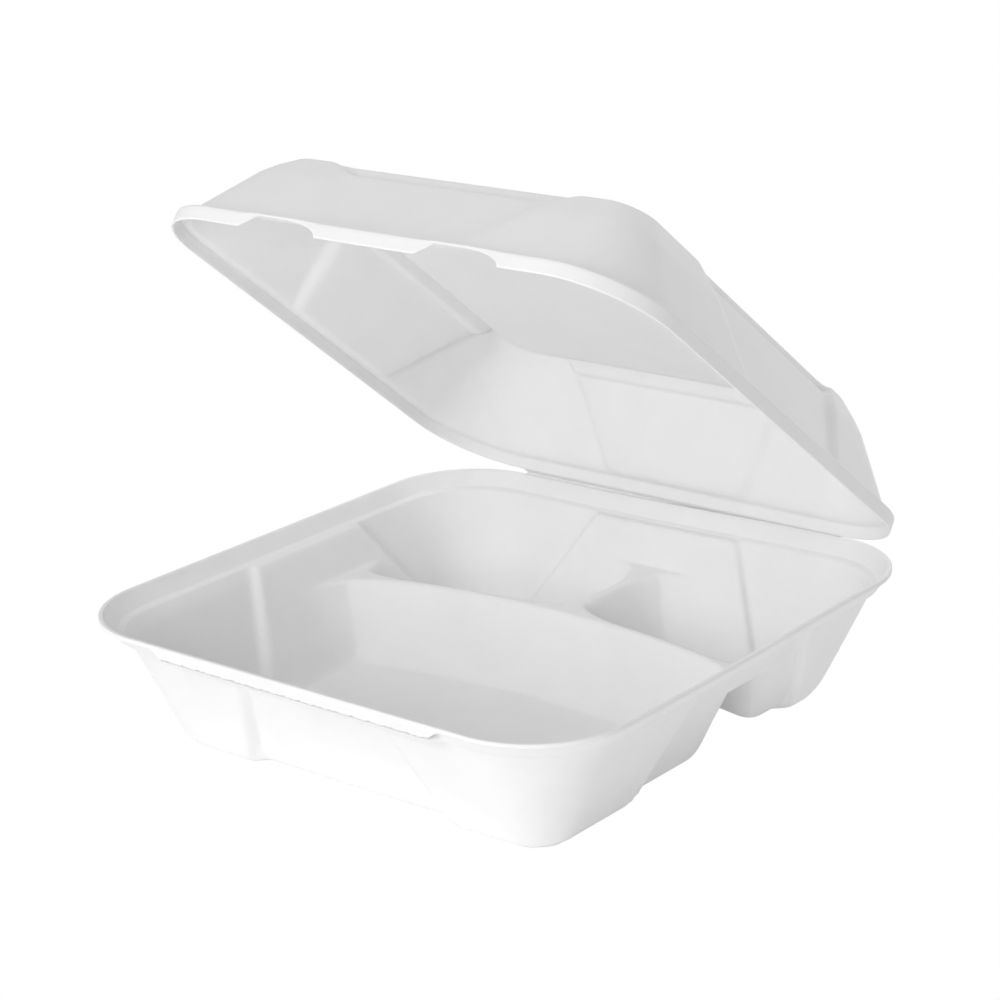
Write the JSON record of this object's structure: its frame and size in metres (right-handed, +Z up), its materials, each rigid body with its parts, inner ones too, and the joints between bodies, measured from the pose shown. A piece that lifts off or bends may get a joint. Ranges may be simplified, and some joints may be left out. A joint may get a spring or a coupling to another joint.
{
  "type": "three-compartment clamshell container",
  "caption": "Hinged takeaway container pressed from fibre pulp: square tray with a large and two small compartments and a domed lid folding along its back edge.",
  "frame": {"origin": "centre of the tray's footprint, on the plane the tray stands on", "axes": "+Z up, +Y towards the fold at the back, +X to the right; mirror plane X = 0"},
  "size_m": [0.2194, 0.2221, 0.1981],
  "materials": {
    "moulded_fibre": "matte white pressed plant fibre with a faint fibrous grain"
  },
  "bodies": {
    "tray": {"base_tray": "moulded_fibre"},
    "lid": {"lid": "moulded_fibre"}
  },
  "joints": [
    {"name": "lid_fold", "type": "hinge", "parent": "tray", "child": "lid", "pos_m": [0, 0.11, 0.04915], "axis": [-1, 0, 0], "range_deg": [-38, 142]}
  ]
}
